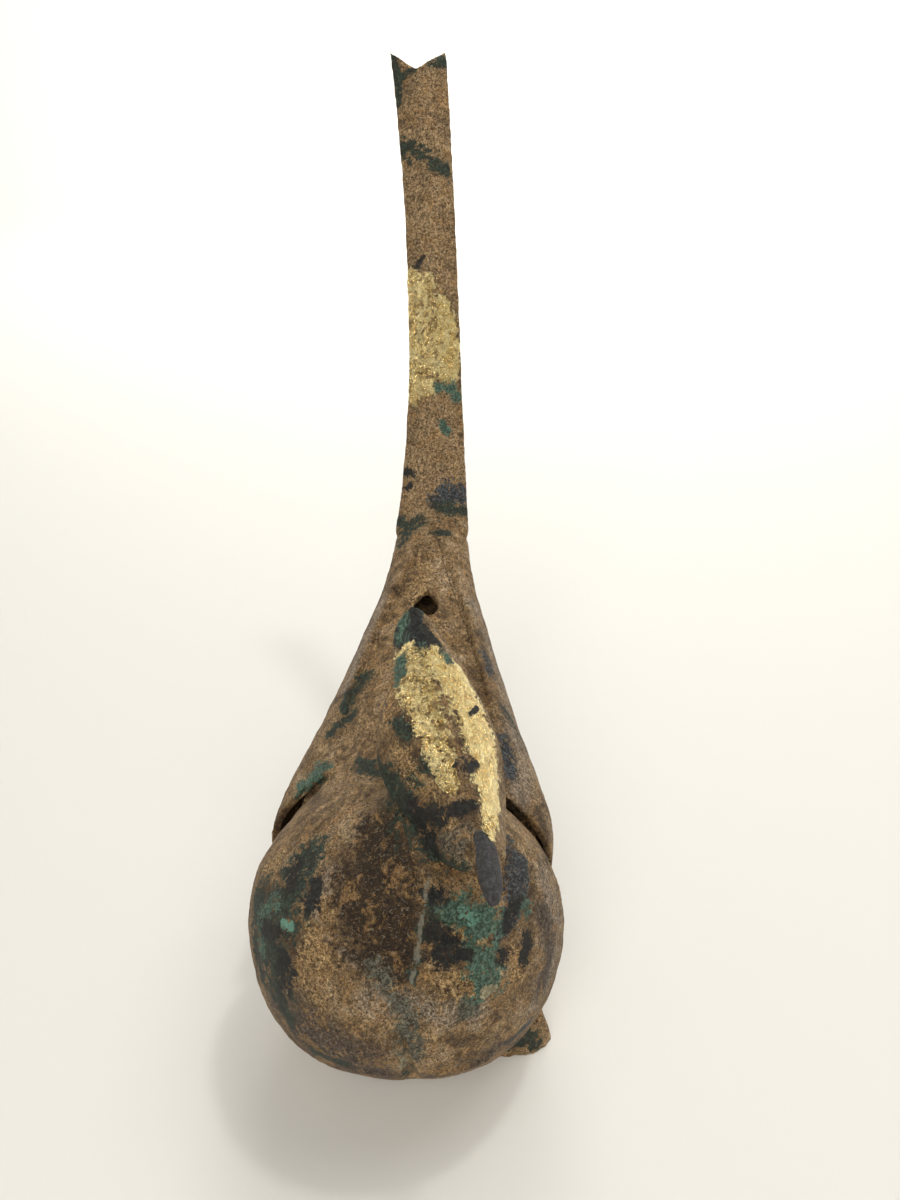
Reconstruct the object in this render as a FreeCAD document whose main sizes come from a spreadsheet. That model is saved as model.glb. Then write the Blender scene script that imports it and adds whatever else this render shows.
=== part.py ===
"""Bird-shaped incense burner in cast bronze, built as separate castings and fittings.

Millimetres, +Z up. The bird faces -Y, its tail points to +Y, and the origin lies on the resting
plane, below the widest section of the body.
"""
import FreeCAD
import Part
import math
import os

V = FreeCAD.Vector

SIZES = [
    # body casting
    ("body_width", 105.0, "width of the breast at its widest"),
    ("breast_reach", 53.0, "from the origin forward to the breast"),
    ("body_reach", 137.0, "from the origin back to the tail root"),
    ("shoulder_height", 100.0, "height of the shoulders where the neck stands"),
    ("belly_flat", 4.0, "depth of belly planed off to stand on"),
    ("wall", 3.5, "thickness of the castings"),
    # slits below the wing fronts
    ("slit_front", 15.0, "where the outer ends of the slits start, on average"),
    ("slit_stagger", 3.0, "the left slit lies this much ahead of that, the right one behind"),
    ("slit_width", 6.5, "widest part of a slit"),
    # wings
    ("ridge_rise", 1.2, "height of the wing ridges above the back"),
    ("ridge_width", 1.0, "from the crest of a ridge in to the back"),
    # tail
    ("tail_reach", 113.0, "from the tail root back to the tip"),
    ("tail_rise", 170.0, "from the tail root up to the tip"),
    ("tail_root_width", 31.6, "tail width at the body"),
    ("tail_waist_width", 21.8, "tail width at its narrowest"),
    ("tail_tip_width", 24.6, "tail width at the tip"),
    ("tail_root_depth", 20.0, "tail thickness at the body"),
    ("tail_depth", 6.0, "tail thickness along the blade"),
    ("tail_sway", 11.0, "how far the tip leans to the bird's right"),
    ("notch_depth", 9.0, "depth of the notch in the tip"),
    ("tenon_diameter", 9.0, "tenon that plugs the tail into the body"),
    ("tenon_length", 10.0, "length of the tenon"),
    ("tail_pin_diameter", 3.0, "cross pins of the tenon"),
    ("tail_pin_pitch", 6.0, "distance between the cross pins"),
    # neck, part of the body casting, and head
    ("neck_width", 80.0, "width of the neck at its foot"),
    ("neck_depth", 72.0, "front to back size of the neck at its foot"),
    ("head_length", 86.5, "from the beak tip to the crest tip, level"),
    ("head_width", 32.0, "width across the crown"),
    ("beak_height", 108.0, "height of the beak tip"),
    ("crest_height", 150.0, "height of the crest tip"),
    ("beak_length", 24.0, "length of the beak"),
    ("beak_width", 8.9, "width of the beak where it leaves the face"),
    ("head_turn", 17.4, "how far the head turns, in degrees"),
    ("beak_side", 28.0, "sideways place of the beak tip"),
    ("beak_front", 43.6, "forward place of the beak tip"),
    ("eye_diameter", 4.2, "outer size of the eye rings"),
    ("eye_line", 0.9, "width of the line of a ring"),
    ("eye_depth", 0.5, "depth of the line of a ring"),
    # lid
    ("lid_front", 80.5, "front edge of the lid"),
    ("lid_length", 50.0, "lid from front edge to rear point"),
    ("lid_width", 35.0, "lid at its front corners"),
    ("lid_corner", 6.0, "radius of the front corners"),
    ("lid_point", 3.0, "radius of the rear point"),
    ("lid_gap", 0.35, "running gap round and below the lid"),
    ("seat_width", 2.2, "ledge that carries the lid"),
    ("seat_depth", 2.6, "thickness of the ledge"),
    ("access_length", 31.0, "opening below the lid, front to back"),
    ("access_point", 5.5, "rear radius of the opening below the lid"),
    ("vent_length", 12.4, "smoke vent, front to back"),
    ("vent_width", 9.4, "smoke vent, across"),
    ("vent_front", 94.0, "front of the smoke vent"),
    # ash pan
    ("pan_gap", 1.0, "space between the pan and the ledge"),
    ("pan_height", 18.0, "height of the pan"),
    ("pan_sheet", 1.2, "sheet thickness of the pan"),
    ("pan_floor_height", 72.0, "underside of the pan above the ground"),
    ("rest_width", 5.0, "width of each pan rest"),
    ("rest_depth", 4.0, "thickness of each pan rest"),
    ("rest_overlap", 4.0, "how far a rest reaches below the pan"),
    # feet
    ("foot_height", 12.0, "height of the feet"),
    ("left_foot_tuck", 1.5, "how far the left foot stays inside the side of the body"),
    ("left_foot_front", 30.0, "forward reach of the left foot"),
    ("right_foot_tuck", 12.5, "how far the tucked right foot stays inside the side of the body"),
    ("right_foot_front", 26.0, "forward reach of the tucked right foot"),
    ("foot_rivet_diameter", 3.0, "rivets of the feet"),
    # casting-core plug
    ("plug_place", 22.0, "from the origin back to the middle of the plug"),
    ("plug_diameter", 24.0, "plate that closes the core hole in the belly"),
    ("plug_thickness", 2.0, "thickness of the plug plate"),
    ("plug_gap", 0.1, "gap between the plug and its recess"),
    ("core_hole_diameter", 16.0, "core hole in the belly"),
    ("plug_rivet_diameter", 2.0, "rivets of the plug plate"),
]

doc = FreeCAD.newDocument("bird_burner")
sheet = doc.addObject("Spreadsheet::Sheet", "Sizes")
for row, (alias, value, note) in enumerate(SIZES, start=1):
    sheet.set("A%d" % row, alias)
    sheet.set("B%d" % row, "%g" % value)
    sheet.set("C%d" % row, note)
    sheet.setAlias("B%d" % row, alias)
doc.recompute()


def size(alias):
    return float(sheet.get(alias))


# ---------------------------------------------------------------- document helpers

def feature(name, shape):
    item = doc.addObject("Part::Feature", name)
    item.Shape = shape
    return item


def cut(name, base, tool):
    item = doc.addObject("Part::Cut", name)
    item.Base = base
    item.Tool = tool
    return item


def fuse(name, shapes):
    item = doc.addObject("Part::MultiFuse", name)
    item.Shapes = shapes
    return item


def common(name, shapes):
    item = doc.addObject("Part::MultiCommon", name)
    item.Shapes = shapes
    return item


def spline(points, closed=False):
    curve = Part.BSplineCurve()
    curve.interpolate(points, PeriodicFlag=closed)
    return curve.toShape()


def bezier(points):
    curve = Part.BezierCurve()
    curve.setPoles(points)
    return curve.toShape()


def prism(outline, low, high):
    """Upright solid over a closed plan outline drawn at z = 0."""
    face = Part.Face(outline)
    solid = face.extrude(V(0, 0, high - low))
    solid.translate(V(0, 0, low))
    return solid


# ---------------------------------------------------------------- body hull

half_width = size("body_width") / 2
breast = size("breast_reach")
reach = size("body_reach")
height = size("shoulder_height")
wall = size("wall")
belly_flat = size("belly_flat")

# Rear of the hull: share of body_reach, half width as a share of the widest, then belly, back and
# widest level as shares of shoulder_height, and how square the back is (2 is an ellipse).
HULL_REAR = [
    (0.00, 1.000, 0.00, 1.000, 0.50, 2.20),
    (0.08, 0.955, 0.00, 0.985, 0.50, 2.10),
    (0.18, 0.868, 0.00, 0.975, 0.50, 2.05),
    (0.29, 0.790, 0.01, 0.995, 0.49, 2.32),
    (0.44, 0.685, 0.035, 1.030, 0.52, 2.85),
    (0.58, 0.530, 0.16, 1.070, 0.62, 3.60),
    (0.73, 0.387, 0.36, 1.135, 0.75, 4.00),
    (0.87, 0.300, 0.66, 1.222, 0.93, 2.50),
    (1.00, 0.225, 1.00, 1.290, 1.13, 2.00),
]
BREAST_ANGLES = (87.5, 77.0, 62.0, 44.0, 23.0)
BELLY_ROUNDNESS = 2.2
KEEL_LIFT = 1.45
CORE_END = 0.87


def hull_section(y, wide, low, high, level, roundness):
    """Closed section of the hull across the body at y, of four quarter arcs."""
    arcs = []
    for across, upright, power in ((1, 1, roundness), (-1, 1, roundness),
                                   (-1, -1, BELLY_ROUNDNESS), (1, -1, BELLY_ROUNDNESS)):
        rise = high - level if upright > 0 else low - level
        full = (8 * 0.5 ** (1 / power) - 4) / 3
        quarter = [V(across * x * wide, y, level + z * rise) for x, z in ((1, 0), (1, full), (full, 1), (0, 1))]
        arcs.append(bezier(quarter if across * upright > 0 else quarter[::-1]))
    return Part.Wire(arcs)


def hull(inset):
    """Hull form, shrunk by inset, from the breast back to the tail root."""
    floor = inset + belly_flat if inset else 0.0
    roundness = HULL_REAR[0][5]
    level = HULL_REAR[0][4] * height
    low = floor - belly_flat
    sections = []
    for degrees in BREAST_ANGLES:
        swing = math.radians(degrees)
        bulge = math.cos(swing)
        sections.append(hull_section(
            -(breast - inset) * math.sin(swing), (half_width - inset) * bulge,
            level - (level - low) * bulge ** KEEL_LIFT, level + (height - level - inset) * bulge,
            level, roundness))
    for share, wide, low_share, high_share, level_share, roundness in HULL_REAR:
        sections.append(hull_section(
            share * reach, wide * half_width - inset,
            low_share * height - belly_flat + floor, high_share * height - inset,
            level_share * height, roundness))
    return Part.makeLoft(sections, True, False)


hull_outer = feature("hull_form", hull(0.0))
core_form = feature("core_form", hull(wall))
core_end = doc.addObject("Part::Box", "core_end")
core_end.setExpression("Length", "Sizes.body_width")
core_end.setExpression("Width", "Sizes.body_reach")
core_end.setExpression("Height", "2 * Sizes.shoulder_height")
core_end.setExpression(".Placement.Base.x", "-Sizes.body_width / 2")
core_end.setExpression(".Placement.Base.y", "%g * Sizes.body_reach" % CORE_END)
hull_inner = cut("hull_core", core_form, core_end)
doc.recompute()


def lowered_hull(name, depth):
    """The hull form moved straight down, whose back follows the real back at that depth."""
    item = feature(name, hull_outer.Shape)
    item.Placement = FreeCAD.Placement(V(0, 0, -depth), FreeCAD.Rotation())
    return item


# ---------------------------------------------------------------- mantle of back and wings

# Share of body_reach, then shares of shoulder_height and of the half width: centre line height,
# ridge across and up, widest point across and up, lower edge across and up.
MANTLE = [
    (0.10, 0.940, 0.922, 0.680, 0.930, 0.660, 0.900, 0.52),
    (0.18, 0.975, 0.805, 0.765, 0.950, 0.700, 0.910, 0.46),
    (0.29, 0.995, 0.640, 0.860, 0.905, 0.740, 0.850, 0.44),
    (0.44, 1.030, 0.510, 0.960, 0.775, 0.805, 0.730, 0.46),
    (0.58, 1.070, 0.405, 1.040, 0.640, 0.890, 0.595, 0.57),
    (0.73, 1.135, 0.300, 1.120, 0.508, 1.000, 0.475, 0.72),
    (0.87, 1.220, 0.160, 1.210, 0.372, 1.140, 0.340, 0.93),
    (1.00, 1.312, 0.020, 1.310, 0.301, 1.260, 0.245, 1.08),
]


def mantle(inset, rise, last, front_shift=0.0):
    """Cape-shaped form whose two creases are the wing ridges."""
    sections = []
    for share, top, rx, rz, ox, oz, lx, lz in MANTLE[:last]:
        y = share * reach
        if not sections:
            y += front_shift
        out_x = ox * half_width - inset
        ridge_x = min(max(rx * half_width - 0.5 * inset, 0.5), out_x - 0.3)
        ridge_z = rz * height - inset + rise
        low_x = lx * half_width - inset
        low_z = lz * height + inset
        swell_x = out_x + math.sqrt((out_x - ridge_x) * (out_x - low_x))
        peak_z = 2 * (top * height - inset) - ridge_z
        crown = bezier([V(-ridge_x, y, ridge_z), V(0, y, peak_z), V(ridge_x, y, ridge_z)])
        right = bezier([V(ridge_x, y, ridge_z), V(swell_x, y, oz * height), V(low_x, y, low_z)])
        under = Part.makeLine(V(low_x, y, low_z), V(-low_x, y, low_z))
        left = bezier([V(-low_x, y, low_z), V(-swell_x, y, oz * height), V(-ridge_x, y, ridge_z)])
        sections.append(Part.Wire([crown, right, under, left]))
    return Part.makeLoft(sections, True, False)


top_of_all = size("crest_height") + size("tail_rise") + height

# ---------------------------------------------------------------- lid outline


def rounded_triangle(front, length, width, corner, point):
    """Plan of the lid or pan: two front corners and a rear point, joined by tangent lines."""
    corner_x = width / 2 - corner
    corner_y = front + corner
    point_y = front + length - point
    slant = math.hypot(corner_x, point_y - corner_y)
    lean = math.atan2(corner_x, point_y - corner_y) + math.asin((corner - point) / slant)
    right_normal = V(math.cos(lean), math.sin(lean), 0)
    left_normal = V(-math.cos(lean), math.sin(lean), 0)
    down = V(0, -1, 0)
    right_mid = (right_normal + down).normalize()
    left_mid = (left_normal + down).normalize()
    right = V(corner_x, corner_y, 0)
    left = V(-corner_x, corner_y, 0)
    rear = V(0, point_y, 0)
    return [
        Part.LineSegment(left + down * corner, right + down * corner),
        Part.Arc(right + down * corner, right + right_mid * corner, right + right_normal * corner),
        Part.LineSegment(right + right_normal * corner, rear + right_normal * point),
        Part.Arc(rear + right_normal * point, rear + V(0, point, 0), rear + left_normal * point),
        Part.LineSegment(rear + left_normal * point, left + left_normal * corner),
        Part.Arc(left + left_normal * corner, left + left_mid * corner, left + down * corner),
    ]


def wire_of(curves):
    return Part.Wire([curve.toShape() for curve in curves])


def lid_plan(grow):
    return rounded_triangle(size("lid_front") - grow, size("lid_length") + 2 * grow,
                            size("lid_width") + 2 * grow, size("lid_corner") + grow,
                            size("lid_point") + grow)


def access_plan(grow):
    inset = size("seat_width") - grow
    return rounded_triangle(size("lid_front") + inset, size("access_length") + 2 * grow,
                            size("lid_width") - 2 * inset, size("lid_corner") - inset,
                            size("access_point") + grow)


lid_gap = size("lid_gap")
pan_floor = size("pan_floor_height")
lid_pocket_column = feature("lid_pocket_column", prism(wire_of(lid_plan(lid_gap)), pan_floor, top_of_all))
lid_column = feature("lid_column", prism(wire_of(lid_plan(0.0)), pan_floor, top_of_all))
seat_column = feature("seat_column", prism(wire_of(lid_plan(size("seat_width"))), pan_floor, top_of_all))
access_column = feature("access_column", prism(wire_of(access_plan(0.0)), pan_floor, top_of_all))

# ---------------------------------------------------------------- neck

# Level as a share of shoulder_height, centre across as a share of beak_side, centre from front
# to back as a share of neck_depth, then width and depth as shares of the foot of the neck.
NECK = [
    (0.80, 0.00, -0.05, 1.00, 1.00),
    (0.87, 0.03, -0.07, 0.84, 0.85),
    (0.94, 0.11, -0.085, 0.67, 0.70),
    (0.985, 0.24, -0.065, 0.53, 0.53),
    (1.035, 0.34, -0.02, 0.39, 0.36),
    (1.10, 0.37, 0.03, 0.31, 0.26),
    (1.17, 0.36, 0.07, 0.20, 0.19),
]
RING_POINTS = 12


def ring(centre, wide, deep):
    points = []
    for step in range(RING_POINTS):
        angle = 2 * math.pi * step / RING_POINTS
        points.append(centre + V(wide * math.cos(angle), deep * math.sin(angle), 0))
    return Part.Wire(spline(points, closed=True))


neck_rings = [ring(V(across * size("beak_side"), place * size("neck_depth"), level * height),
                   wide * size("neck_width") / 2, deep * size("neck_depth") / 2)
              for level, across, place, wide, deep in NECK]
neck_form = feature("neck_form", Part.makeLoft(neck_rings, True, False))

# ---------------------------------------------------------------- body shell

# Breast edge of a slit: share of the half width, and how far behind the start of the slit.
SLIT_FRONT = [(0.912, -0.5), (0.77, 1.3), (0.66, 2.9), (0.53, 9.0)]
front_rim = SLIT_FRONT[1][1]

def slit_start(side):
    """Where the slit of a side starts; side is -1 for the bird's right and 1 for its left."""
    return size("slit_front") - side * size("slit_stagger")


def slit_outline(side):
    """Plan of a slit: the breast edge in front, the wing edge behind, both ends pointed."""
    start = slit_start(side)
    front = [V(side * share * half_width, start + back, 0) for share, back in SLIT_FRONT]
    behind = V(side * 0.77 * half_width, start + front_rim + 1.6 * size("slit_width"), 0)
    return Part.Wire([spline(front), spline([front[-1], behind, front[0]])])


ground = doc.addObject("Part::Box", "ground")
ground.setExpression("Length", "4 * Sizes.body_width")
ground.setExpression("Width", "4 * Sizes.body_reach")
ground.setExpression("Height", "2 * Sizes.shoulder_height")
ground.setExpression(".Placement.Base.x", "-2 * Sizes.body_width")
ground.setExpression(".Placement.Base.y", "-2 * Sizes.body_reach")
ground.setExpression(".Placement.Base.z", "-2 * Sizes.shoulder_height")

body_solid = fuse("body_solid", [hull_outer, neck_form])
body_hollow = cut("body_hollow", body_solid, hull_inner)
seat_depth = size("seat_depth")
lid_floor = lowered_hull("lid_floor", wall)
seat_top = lowered_hull("seat_top", 0.6 * wall)
seat_bottom = lowered_hull("seat_bottom", wall + seat_depth)
seat_band = common("seat_band", [seat_top, seat_column])
seat_plate = cut("seat_plate", seat_band, seat_bottom)
body_seated = fuse("body_with_seat", [body_hollow, seat_plate])
lid_recess = cut("lid_recess", lid_pocket_column, lid_floor)
slits = [feature("slit_column_" + name, prism(slit_outline(side), 0.5 * height, height))
         for name, side in (("left", -1), ("right", 1))]
body_recessed = cut("body_recessed", body_seated, lid_recess)
body_access = cut("body_access", body_recessed, access_column)
body_slit_left = cut("body_slit_left", body_access, slits[0])
body_slit_right = cut("body_slit_right", body_slit_left, slits[1])
body_flat = cut("body_flat", body_slit_right, ground)
doc.recompute()

# ---------------------------------------------------------------- wings

# Front edge of a wing: share of the half width, and how far behind the start of its slit.
WING_FRONT = [(0.53, 9.0), (0.64, 9.3), (0.76, 8.0), (0.86, 4.3), (0.93, 0.0)]
WING_ROOT = WING_FRONT[0][0]


def wing_front(side, start):
    return [V(side * share * half_width, start + back, 0) for share, back in WING_FRONT]


def wing_plan(side, start):
    """Plan of a wing: front edge, outer side, rear end, and the ridge line inside."""
    front = wing_front(side, start)
    border = []
    for row in MANTLE:
        if row[0] * reach > front[0].y + 1.0:
            across = max(min(row[2], WING_ROOT) * half_width - size("ridge_width"), 0.4)
            border.append(V(side * across, row[0] * reach, 0))
    outer = V(side * 2 * half_width, front[-1].y, 0)
    outer_rear = V(side * 2 * half_width, reach, 0)
    corners = [front[-1], outer, outer_rear, border[-1]]
    lines = [Part.makeLine(a, b) for a, b in zip(corners, corners[1:])]
    return Part.Wire([spline(front)] + lines + [spline(border[::-1] + [front[0]])])


rise = size("ridge_rise")
wing_form = feature("wing_form", mantle(0.0, rise, len(MANTLE)))
wing_hollow = feature("wing_hollow", mantle(wall, rise, len(MANTLE) - 1, -wall))
wing_column = feature("wing_column", prism(wing_plan(-1, slit_start(1)), 0, top_of_all))
wing_block = common("wing_block", [wing_form, wing_column])
wing_blade = cut("wing_blade", wing_block, wing_hollow)
long_wing = cut("long_wing", wing_blade, hull_outer)
left_wing = doc.addObject("Part::Mirroring", "left_wing_body")
left_wing.Source = long_wing
left_wing.Normal = V(1, 0, 0)
right_front = wing_front(-1, slit_start(-1))
trim_corners = [right_front[-1], V(-2 * half_width, right_front[-1].y, 0), V(-2 * half_width, -breast, 0),
                V(0, -breast, 0), V(0, right_front[0].y, 0), right_front[0]]
trim_lines = [Part.makeLine(a, b) for a, b in zip(trim_corners, trim_corners[1:])]
wing_trim = feature("wing_trim", prism(Part.Wire([spline(right_front)] + trim_lines), 0, top_of_all))
right_wing = cut("right_wing_body", long_wing, wing_trim)
doc.recompute()

# ---------------------------------------------------------------- tail

# Share of tail_reach, share of tail_rise, how much of the root's extra width and extra depth
# is left, and how much of the tip's extra width is reached.
TAIL = [
    (0.000, 0.000, 1.00, 1.00, 0.0),
    (0.115, 0.060, 0.68, 0.50, 0.0),
    (0.250, 0.162, 0.38, 0.22, 0.0),
    (0.470, 0.388, 0.09, 0.06, 0.0),
    (0.735, 0.688, 0.00, 0.00, 0.2),
    (1.000, 1.000, 0.00, 0.00, 1.0),
]
TAIL_CREST = 0.17
TAIL_EDGE = 1.6
LOFT_DEGREE = 3


def tail_section(place, before, after, width, depth):
    """Roof-shaped section square to the run from before to after."""
    along = (after - before).normalize()
    upright = V(0, -along.z, along.y)
    drop = TAIL_CREST * width
    ridge = place
    right = place + V(width / 2, 0, 0) - upright * drop
    left = place - V(width / 2, 0, 0) - upright * drop
    right_low = right - upright * TAIL_EDGE
    left_low = left - upright * TAIL_EDGE
    belly = place - upright * (2 * max(depth, drop + TAIL_EDGE) - drop - TAIL_EDGE)
    right_roof = (ridge + right) * 0.5 + upright * 0.12 * drop
    left_roof = (ridge + left) * 0.5 + upright * 0.12 * drop
    return Part.Wire([
        bezier([ridge, right_roof, right]),
        Part.makeLine(right, right_low),
        bezier([right_low, belly, left_low]),
        Part.makeLine(left_low, left),
        bezier([left, left_roof, ridge]),
    ])


root_top = MANTLE[-1][1] * height
waist = size("tail_waist_width")
tail_places = [V(0, reach + share_y * size("tail_reach"), root_top + share_z * size("tail_rise"))
               for share_y, share_z, root_left, depth_left, tip_part in TAIL]
tail_sections = []
for index, (share_y, share_z, root_left, depth_left, tip_part) in enumerate(TAIL):
    before = tail_places[index - 1] if index else tail_places[0] - V(0, 1, 0)
    after = tail_places[index + 1] if 0 < index < len(TAIL) - 1 else tail_places[index]
    if not index:
        after = tail_places[0]
    width = (waist + root_left * (size("tail_root_width") - waist)
             + tip_part * (size("tail_tip_width") - waist))
    depth = size("tail_depth") + depth_left * (size("tail_root_depth") - size("tail_depth"))
    sway = V(-size("tail_sway") * share_z ** 2, 0, 0)
    tail_sections.append(tail_section(tail_places[index] + sway, before + sway, after + sway,
                                      width, depth))
tail_blade = feature("tail_blade", Part.makeLoft(tail_sections, True, False, False, LOFT_DEGREE))

tip_run = (tail_places[-1] - tail_places[-2]).normalize()
tip = tail_places[-1] + V(-size("tail_sway"), 0, 0)
tip_up = V(0, -tip_run.z, tip_run.y)
half_tip = size("tail_tip_width") / 2
notch_corner = V(half_tip * 1.1, 0, 0)
notch_base = tip + tip_up * size("tail_root_depth") + tip_run * 0.1 * size("notch_depth")
notch_face = Part.Face(Part.makePolygon([
    notch_base - notch_corner, notch_base + notch_corner,
    notch_base - tip_run * 1.1 * size("notch_depth"), notch_base - notch_corner]))
notch = feature("tail_notch", notch_face.extrude(tip_up * -2 * size("tail_root_depth")))
tail_notched = cut("tail_notched", tail_blade, notch)

tenon_level = root_top - 0.7 * size("tail_root_depth")
tenon = doc.addObject("Part::Cylinder", "tail_tenon")
tenon.setExpression("Radius", "Sizes.tenon_diameter / 2")
tenon.setExpression("Height", "Sizes.tenon_length + Sizes.wall")
tenon.Placement = FreeCAD.Placement(V(0, 0, tenon_level), FreeCAD.Rotation(V(1, 0, 0), 90))
tenon.setExpression(".Placement.Base.y", "Sizes.body_reach + Sizes.wall")
socket = doc.addObject("Part::Cylinder", "tail_socket")
socket.setExpression("Radius", "Sizes.tenon_diameter / 2")
socket.setExpression("Height", "Sizes.tenon_length")
socket.Placement = FreeCAD.Placement(V(0, 0, tenon_level), FreeCAD.Rotation(V(1, 0, 0), 90))
socket.setExpression(".Placement.Base.y", "Sizes.body_reach")

pin_rods = []
for index, name in enumerate(("front", "rear")):
    rod = doc.addObject("Part::Cylinder", "tail_pin_rod_" + name)
    rod.setExpression("Radius", "Sizes.tail_pin_diameter / 2")
    rod.setExpression("Height", "Sizes.body_width")
    rod.Placement = FreeCAD.Placement(V(0, 0, tenon_level), FreeCAD.Rotation(V(0, 1, 0), 90))
    rod.setExpression(".Placement.Base.x", "-Sizes.body_width / 2")
    offset = "%d * Sizes.tail_pin_pitch / 2" % (2 * index - 1)
    rod.setExpression(".Placement.Base.y", "Sizes.body_reach - Sizes.tenon_length / 2 + " + offset)
    pin_rods.append(rod)
pin_rod_pair = fuse("tail_pin_rods", pin_rods)
tail_pins = common("tail_pins_body", [pin_rod_pair, hull_outer])
tail_with_tenon = fuse("tail_with_tenon", [tail_notched, tenon])
tail = cut("tail_body", tail_with_tenon, pin_rod_pair)
doc.recompute()

# ---------------------------------------------------------------- head

# Share of head_length from the beak tip, then crown, cheek and throat heights as shares of the
# way from the beak tip's height to the crest tip's, and the half width and the sideways bow of
# the head as shares of half of head_width.
HEAD = [
    (0.20, 0.155, -0.05, -0.16, 0.42, 0.20),
    (0.27, 0.250, -0.10, -0.24, 0.61, 0.14),
    (0.34, 0.330, -0.13, -0.28, 0.73, 0.14),
    (0.45, 0.465, -0.08, -0.25, 0.98, 0.07),
    (0.57, 0.583, 0.08, -0.10, 1.18, 0.00),
    (0.68, 0.690, 0.26, 0.08, 1.19, -0.05),
    (0.80, 0.800, 0.55, 0.40, 0.82, -0.02),
    (0.91, 0.905, 0.75, 0.64, 0.55, -0.04),
    (1.00, 1.000, 0.93, 0.87, 0.20, -0.05),
]
# The same for the beak: share of beak_length from the tip, widths as shares of beak_width.
BEAK = [
    (0.00, 0.03, -0.01, -0.05, 0.34, 0.08),
    (0.25, 0.09, 0.02, -0.07, 0.72, 0.14),
    (0.60, 0.15, 0.05, -0.09, 0.94, 0.20),
    (1.00, 0.22, 0.06, -0.11, 1.00, 0.26),
    (1.35, 0.26, 0.06, -0.13, 0.96, 0.24),
]
EYE_ROW = HEAD[1]

turn = math.radians(size("head_turn"))
backward = V(-math.sin(turn), math.cos(turn), 0)
sideways = V(math.cos(turn), math.sin(turn), 0)
beak_tip = V(size("beak_side"), -size("beak_front"), 0)
head_rise = size("crest_height") - size("beak_height")


def head_point(run, across, share):
    return beak_tip + backward * run + sideways * across + V(0, 0, size("beak_height") + share * head_rise)


def flank(run, crown, cheek, wide, bow, side):
    """Curve control points from the crown crease down to the cheek crease of one side."""
    middle = bow * size("head_width") / 2
    brow = crown - 0.22 * (crown - cheek)
    return [
        head_point(run, middle, crown),
        head_point(run, middle + side * 0.72 * wide, brow),
        head_point(run, middle + side * wide, cheek),
    ]


def head_section(run, crown, cheek, throat, wide, bow):
    """Leaf-shaped section with a crease along the crown and along each cheek."""
    middle = bow * size("head_width") / 2
    bottom = head_point(run, middle, throat)
    right = flank(run, crown, cheek, wide, bow, 1)
    left = flank(run, crown, cheek, wide, bow, -1)
    right_jowl = head_point(run, middle + 0.95 * wide, throat)
    left_jowl = head_point(run, middle - 0.95 * wide, throat)
    return Part.Wire([
        bezier(right),
        bezier([right[-1], right_jowl, bottom]),
        bezier([bottom, left_jowl, left[-1]]),
        bezier(left[::-1]),
    ])


def leaf(table, length, width):
    """Loft of the head or beak sections of a table."""
    return Part.makeLoft([
        head_section(share * length, crown, cheek, throat, wide * width / 2, bow)
        for share, crown, cheek, throat, wide, bow in table], True, False)


head_form = feature("head_form", leaf(HEAD, size("head_length"), size("head_width")))
beak_form = feature("beak_form", leaf(BEAK, size("beak_length"), size("beak_width")))
head_solid = fuse("head_solid", [head_form, beak_form])
head_seated = cut("head_seated", head_solid, neck_form)

eye_share, eye_crown, eye_cheek, eye_throat, eye_wide, eye_bow = EYE_ROW


def eye_disc(name, radius, place):
    """Cylinder that stands out of the face from the bottom of an eye ring."""
    item = doc.addObject("Part::Cylinder", name)
    item.setExpression("Radius", radius)
    item.setExpression("Height", "Sizes.eye_diameter")
    item.Placement = place
    return item


eye_rings = []
for name, side in (("right", -1), ("left", 1)):
    top, brow, cheek = flank(eye_share * size("head_length"), eye_crown, eye_cheek,
                             eye_wide * size("head_width") / 2, eye_bow, side)
    outward = ((cheek - top).cross(backward) * -side).normalize()
    bottom = (top + brow * 2 + cheek) * 0.25 - outward * size("eye_depth")
    place = FreeCAD.Placement(bottom, FreeCAD.Rotation(V(0, 0, 1), outward))
    outer_disc = eye_disc("eye_disc_" + name, "Sizes.eye_diameter / 2", place)
    inner_disc = eye_disc("eye_core_" + name, "Sizes.eye_diameter / 2 - Sizes.eye_line", place)
    eye_rings.append(cut("eye_ring_" + name, outer_disc, inner_disc))
head = cut("head_body", head_seated, fuse("eye_rings", eye_rings))
doc.recompute()

# ---------------------------------------------------------------- lid

lid_blank = common("lid_blank", [hull_outer, lid_column])
lid_underside = lowered_hull("lid_underside", wall - lid_gap)
lid_plain = cut("lid_plain", lid_blank, lid_underside)


def vent_plan():
    """Teardrop with its round end in front."""
    radius = size("vent_width") / 2
    centre = V(0, size("vent_front") + radius, 0)
    point = V(0, size("vent_front") + size("vent_length"), 0)
    lean = math.asin(radius / (point.y - centre.y))
    touch = V(radius * math.cos(lean), radius * math.sin(lean), 0)
    mirrored = V(-touch.x, touch.y, 0)
    return [
        Part.Arc(centre + mirrored, centre - V(0, radius, 0), centre + touch),
        Part.LineSegment(centre + touch, point),
        Part.LineSegment(point, centre + mirrored),
    ]


vent = feature("vent_column", prism(wire_of(vent_plan()), pan_floor, top_of_all))
lid = cut("lid_body", lid_plain, vent)
doc.recompute()

# ---------------------------------------------------------------- ash pan


def origin_plane(body, role):
    return next(item for item in body.Origin.OriginFeatures if item.Role == role)


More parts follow.
